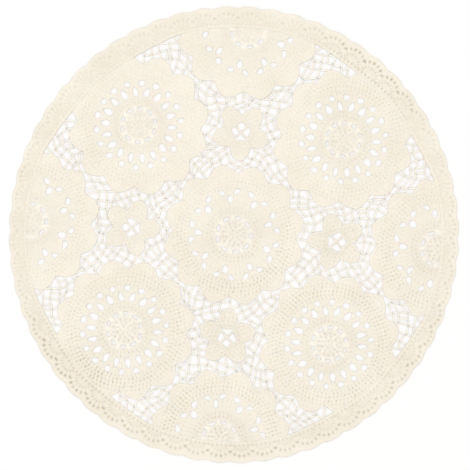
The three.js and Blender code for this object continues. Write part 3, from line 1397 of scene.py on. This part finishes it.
@dataclass
class BarredGround:
    """The net of thin corded bars that joins the motifs.

    Attributes:
        motifs: the motifs that it joins, in their order.
        border: the border that it joins.
        name: name of the piece.
        bar_radius: half the width of a bar.
        flat: height of a bar as a share of its width.
        level: height of the bars' middle lines.
        pitch: least distance between free joints.
        clearance: least distance of a free joint from the motifs.
        tries: how many places are tried for free joints.
        border_anchors: bars joined on round the border.
        bar_width: width that has to be clear in front of the end of a bar.
        inset: how far a bar runs into what it joins.
        wander: how unevenly the bars are joined on.
        flattest: widest corner of a four-sided mesh, in degrees.
        largest: area above which a mesh gets another bar across it.
        stray: how far from the middle of a side such a bar is joined on, as a share of the side.
        reach_steps: insets by which such a bar is lengthened at most to reach a motif.
        bow: how far a bar swings out of line.
        sides: sides of a bar's mesh.
        step: length of the bar's mesh between rings.
        fewest_steps: least steps of a bar's mesh.
        twist: length of one turn of the two plies.
        ply: how far the plies stand out, as a share of the radius.
        yarn_round: yarn widths round a bar.
        yarn_along: yarn widths along one turn of the plies.
        knot: half the length of a knot at a joint.
        painted_light: how strong the painted light on the bars is, from 0 to 1.
    """

    motifs: list[Motif]
    border: ScallopedBorder
    name: str = "barred_ground"
    bar_radius: float = 0.82 * MM
    flat: float = 0.6
    level: float = 0.6 * MM
    pitch: float = 13.0 * MM
    clearance: float = 8.0 * MM
    tries: int = 9000
    border_anchors: int = 84
    bar_width: float = 1.6 * MM
    inset: float = 0.4 * MM
    wander: float = 1.6 * MM
    flattest: float = 155.0
    largest: float = 64.0 * MM * MM
    stray: float = 0.3
    reach_steps: int = 9
    bow: float = 0.7 * MM
    sides: int = 7
    step: float = 0.9 * MM
    fewest_steps: int = 3
    twist: float = 3.2 * MM
    ply: float = 0.14
    yarn_round: float = 1.5
    yarn_along: float = 2.0
    knot: float = 0.9 * MM
    painted_light: float = 0.4

    def depth(self, points: Array) -> Array:
        """Measures how far points lie out in the ground.

        Args:
            points: points of the plane.

        Returns:
            A distance for each point, below 0 inside a motif or the border.
        """
        radius, angle = to_polar(points)
        depth = self.border.inner_edge(angle) - radius
        for motif in self.motifs:
            radius, angle = motif.around(points)
            depth = np.minimum(depth, radius - motif.edge.radius(angle))
        return depth

    def anchors(self) -> tuple[list[Array], list[int]]:
        """Places the points where bars are joined on.

        Returns:
            The points, and the number of the motif that each is on, one past the last for the border.
        """
        points: list[Array] = []
        owners: list[int] = []
        for owner, motif in enumerate(self.motifs):
            for index in range(motif.anchors):
                wander = self.wander * uneven(len(points)) / motif.edge.reach
                turn = motif.edge.first + 180 / motif.edge.lobes + 360 * index / motif.anchors
                angle = math.radians(turn) + wander
                radius = float(motif.edge.radius(np.array(angle)))
                outside = polar(radius + self.bar_width, angle) + motif.centre
                if self.depth(outside[None])[0] > 0:
                    points.append(polar(radius - self.inset, angle) + motif.centre)
                    owners.append(owner)
        for index in range(self.border_anchors):
            wander = self.wander * uneven(index) / self.border.inner_radius
            angle = TURN * index / self.border_anchors + wander
            radius = float(self.border.inner_edge(np.array(angle)))
            if self.depth(polar(radius - self.bar_width, angle)[None])[0] > 0:
                points.append(polar(radius + self.inset, angle))
                owners.append(len(self.motifs))
        return points, owners

    def joints(self, anchors: list[Array]) -> list[Array]:
        """Spreads free joints evenly over the open ground.

        Args:
            anchors: points where bars are joined on.

        Returns:
            The free joints.
        """
        number = np.arange(1, self.tries + 1)
        spread = np.column_stack([(number / PLASTIC_RATIO) % 1, (number / PLASTIC_RATIO**2) % 1])
        places = (spread * 2 - 1) * self.border.inner_radius
        clear = nearest_distance(places, np.array(anchors)) > self.clearance
        places = places[clear & (self.depth(places) > self.clearance)]
        joints: list[Array] = []
        for place in places:
            if all(np.linalg.norm(place - other) > self.pitch for other in joints):
                joints.append(place)
        return joints

    @staticmethod
    def widest_corner(polygon: Array) -> float:
        """Finds the widest corner of a polygon.

        Args:
            polygon: its corners, anticlockwise.

        Returns:
            The angle in degrees, without limit where the polygon isn't convex.
        """
        back = np.roll(polygon, 1, axis=0) - polygon
        ahead = np.roll(polygon, -1, axis=0) - polygon
        turn = np.cross(ahead, back)
        if np.any(turn <= 0):
            return math.inf
        return float(np.degrees(np.arctan2(turn, np.sum(ahead * back, axis=1))).max())

    def meshes(self, points: Array) -> list[list[int]]:
        """Joins the points in triangles, paired where that makes a good four-sided mesh.

        Args:
            points: anchors and free joints.

        Returns:
            Point numbers of each mesh, anticlockwise.
        """
        _, faces = triangulate(points, [])
        faces = faces[self.depth(points[faces].mean(axis=1)) > 0]
        ground = [tuple(face) for face in faces.tolist()]
        sides = {(face[i], face[(i + 1) % 3]): face for face in ground for i in range(3)}
        pairs = []
        for (start, end), face in sides.items():
            other = sides.get((end, start))
            if other and start < end:
                apex = next(corner for corner in face if corner not in (start, end))
                far = next(corner for corner in other if corner not in (start, end))
                quad = [apex, start, far, end]
                corner = self.widest_corner(points[quad])
                if corner < self.flattest:
                    pairs.append((corner, face, other, quad))
        used: set[tuple[int, ...]] = set()
        meshes = []
        for _, face, other, quad in sorted(pairs):
            if face not in used and other not in used:
                used |= {face, other}
                meshes.append(quad)
        return meshes + [list(face) for face in ground if face not in used]

    def side_point(self, start: Array, end: Array) -> Array:
        """Places the joint of a crossing bar on a side, the same from both meshes beside it.

        Args:
            start: one end of the side.
            end: the other end.

        Returns:
            The joint.
        """
        first, last = sorted((start.tolist(), end.tolist()))
        number = round(abs(first[0] + 2 * last[1]) / self.inset)
        return np.array(first) + (np.array(last) - np.array(first)) * (0.5 + self.stray * uneven(number))

    def crossing_bars(self, mesh: Array) -> list[Bar]:
        """Lays bars across the longer way of a mesh until its parts are small.

        Args:
            mesh: corners of the mesh, three or four.

        Returns:
            The ends of each bar.
        """
        after = np.roll(mesh, -1, axis=0)
        if np.cross(mesh, after).sum() / 2 < self.largest:
            return []
        lengths = np.linalg.norm(after - mesh, axis=1)
        if len(mesh) == 4:
            across = lengths[0] + lengths[2] < lengths[1] + lengths[3]
            a, b, c, d = after if across else mesh
            start, end = self.side_point(a, b), self.side_point(c, d)
            parts = [np.array([a, start, end, d]), np.array([start, b, c, end])]
        else:
            a, b, c = np.roll(mesh, -1 - int(np.argmin(lengths)), axis=0)
            start, end = self.side_point(a, b), self.side_point(b, c)
            parts = [np.array([a, start, end, c]), np.array([start, b, end])]
        return [(start, end), *(bar for part in parts for bar in self.crossing_bars(part))]

    def reach_in(self, start: Array, end: Array) -> Array:
        """Lengthens a bar at its end until it runs into the motif there, if it stops just short.

        Args:
            start: where the bar starts.
            end: where it ends.

        Returns:
            Its new end.
        """
        ahead = (end - start) / np.linalg.norm(end - start)
        longer = end + np.outer(np.arange(1, self.reach_steps + 1) * self.inset, ahead)
        inside = np.flatnonzero(self.depth(longer) < -self.inset)
        return longer[inside[0]] if len(inside) else end

    def bars(self) -> tuple[list[Bar], list[Array]]:
        """Lays out the bars.

        Returns:
            The ends of each bar, and the places of the knots.
        """
        anchors, owners = self.anchors()
        joints = self.joints(anchors)
        points = np.array(anchors + joints)
        owners = owners + [-1 - index for index in range(len(joints))]
        sides: set[tuple[int, int]] = set()
        bars: list[Bar] = []
        crossings: list[Bar] = []
        knots = list(joints)
        for mesh in self.meshes(points):
            for start, end in zip(mesh, mesh[1:] + mesh[:1]):
                side = (min(start, end), max(start, end))
                if side not in sides and owners[start] != owners[end]:
                    bars.append((points[start], points[end]))
                sides.add(side)
            crossings += self.crossing_bars(points[mesh])
        for start, end in crossings:
            bars.append((self.reach_in(end, start), self.reach_in(start, end)))
            knots += [start, end]
        return bars, knots

    def cord(self, start: Array, end: Array, bow: float) -> tuple[Array, Array, Array]:
        """Meshes one bar as two plies twisted together.

        Args:
            start: where the bar starts.
            end: where it ends.
            bow: how far its middle swings out of line.

        Returns:
            Points, triangles and places along the yarn of their corners.
        """
        length = np.linalg.norm(end - start)
        ahead = (end - start) / length
        aside = np.array([-ahead[1], ahead[0]])
        steps = max(self.fewest_steps, round(length / self.step))
        way = np.linspace(0, 1, steps + 1)[1:-1, None]
        turn = np.linspace(0, TURN, self.sides, endpoint=False)[None]
        radius = self.bar_radius * (1 + self.ply * np.cos(2 * turn - TURN * way * length / self.twist))
        out = 4 * bow * way * (1 - way) + radius * np.cos(turn)
        flat = start + way[..., None] * (end - start) + out[..., None] * aside
        rings = np.concatenate([flat, (self.level + self.flat * radius * np.sin(turn))[..., None]], axis=2)
        tips = [[*start, self.level], [*end, self.level]]
        points = np.vstack([rings.reshape(-1, 3), tips])

        last = len(way) - 1
        rows, columns = tube_corners(last, self.sides)
        tip = np.where(rows < 0, len(points) - 2, len(points) - 1)
        triangles = np.where((rows < 0) | (rows > last), tip, rows * self.sides + columns % self.sides)
        around = columns * self.yarn_round / self.sides
        along = rows * length / steps / self.twist * self.yarn_along
        return points, triangles, np.stack([around, along], axis=-1)

    def build(self, material: bpy.types.Material) -> bpy.types.Object:
        """Works all the bars and knots as one piece.

        Args:
            material: finish of the piece.

        Returns:
            The finished piece.
        """
        bars, knots = self.bars()
        half = np.array([self.knot, 0.0])
        cords = [self.cord(start, end, self.bow * uneven(index)) for index, (start, end) in enumerate(bars)]
        cords += [self.cord(place - half, place + half, 0.0) for place in knots]
        points, triangles, yarn = zip(*cords)
        starts = np.cumsum([0, *(len(part) for part in points)])
        faces = np.vstack([part + start for part, start in zip(triangles, starts)])
        count = int(starts[-1])
        # The bars get no painted shade and an even share of painted light.
        tones = {"pit_shade": np.zeros(count), "painted_light": np.full(count, self.painted_light)}
        piece = cloth_object(self.name, np.vstack(points), faces, np.concatenate(yarn), tones, material)
        seat(piece)
        LOG.info("%s: %d bars, %d knots", self.name, len(bars), len(knots))
        return piece


@dataclass
class Studio:
    """Pale floor, soft light and a camera straight above the mat.

    Attributes:
        frame_width: width of the picture at the mat.
        distance: height of the camera above the mat.
        roll: angle that the camera is turned by, in degrees.
        shift: place of the picture's middle on the mat, in the camera's own directions.
        floor_size: length of the floor's sides.
        floor_gap: how far the floor lies below the mat.
        floor_colour: colour of the floor.
        floor_roughness: roughness of the floor.
        floor_gloss: level of the floor's plain reflection.
        key_size: length of the light's sides.
        key_place: where the light hangs.
        key_power: power of the light, in watts.
        sky: strength of the white sky.
    """

    frame_width: float = 0.3939
    distance: float = 2.0
    roll: float = 4.0
    shift: tuple[float, float] = (0.86 * MM, -0.2 * MM)
    floor_size: float = 6.0
    floor_gap: float = 0.1 * MM
    floor_colour: Colour = (0.745, 0.74, 0.735, 1.0)
    floor_roughness: float = 0.95
    floor_gloss: float = 0.1
    key_size: float = 0.8
    key_place: tuple[float, float, float] = (-0.15, 0.15, 3.6)
    key_power: float = 74.0
    sky: float = 0.8

    def floor(self) -> None:
        """Lays the floor just below the mat."""
        bpy.ops.object.select_all(action="DESELECT")
        bpy.ops.mesh.primitive_plane_add(size=self.floor_size, location=(0, 0, -self.floor_gap))
        floor = bpy.context.active_object
        floor.name = "studio_floor"
        material = bpy.data.materials.new("studio_paper")
        material.use_nodes = True
        shader = material.node_tree.nodes["Principled BSDF"]
        shader.inputs["Base Color"].default_value = self.floor_colour
        shader.inputs["Roughness"].default_value = self.floor_roughness
        shader.inputs["Specular IOR Level"].default_value = self.floor_gloss
        floor.data.materials.append(material)

    def lights(self) -> None:
        """Hangs one large soft light, a little to the upper left, in an even white sky."""
        bpy.ops.object.select_all(action="DESELECT")
        bpy.ops.object.light_add(type="AREA", location=self.key_place)
        key = bpy.context.active_object
        key.name = "key_light"
        key.data.size = self.key_size
        key.data.energy = self.key_power
        world = bpy.data.worlds.new("white_sky")
        world.use_nodes = True
        background = world.node_tree.nodes["Background"]
        background.inputs["Color"].default_value = (1.0, 1.0, 1.0, 1.0)
        background.inputs["Strength"].default_value = self.sky
        bpy.context.scene.world = world
        bpy.context.scene.view_settings.view_transform = "Standard"

    def camera(self) -> None:
        """Sets the camera straight above the mat, turned as in the photograph."""
        turn = math.radians(self.roll)
        right, up = polar(1.0, turn), polar(1.0, turn + TURN / 4)
        x, y = self.shift[0] * right + self.shift[1] * up
        bpy.ops.object.select_all(action="DESELECT")
        bpy.ops.object.camera_add(location=(x, y, self.distance), rotation=(0, 0, turn))
        camera = bpy.context.active_object
        camera.name = "photo_camera"
        camera.data.lens = camera.data.sensor_width * self.distance / self.frame_width
        camera.data.clip_end = 10 * self.distance
        bpy.context.scene.camera = camera


def main() -> None:
    """Builds the placemat and its studio, and reports each piece."""
    logging.basicConfig(level=logging.INFO, format="%(message)s")
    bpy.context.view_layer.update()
    low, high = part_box(LACE_NODE)
    cotton = CottonFinish().material()
    border = ScallopedBorder(width=high[0] - low[0], length=high[1] - low[1])
    motifs = LaceLayout(border).motifs()
    pieces = [motif.build(cotton) for motif in motifs]
    ground = BarredGround(motifs, border).build(cotton)
    pieces += [ground, border.build(cotton, joined=(ground,))]
    for piece in pieces:
        LOG.info("%s: %d faces", piece.name, len(piece.data.polygons))
    studio = Studio()
    studio.floor()
    studio.lights()
    studio.camera()


if __name__ == "__main__":
    main()
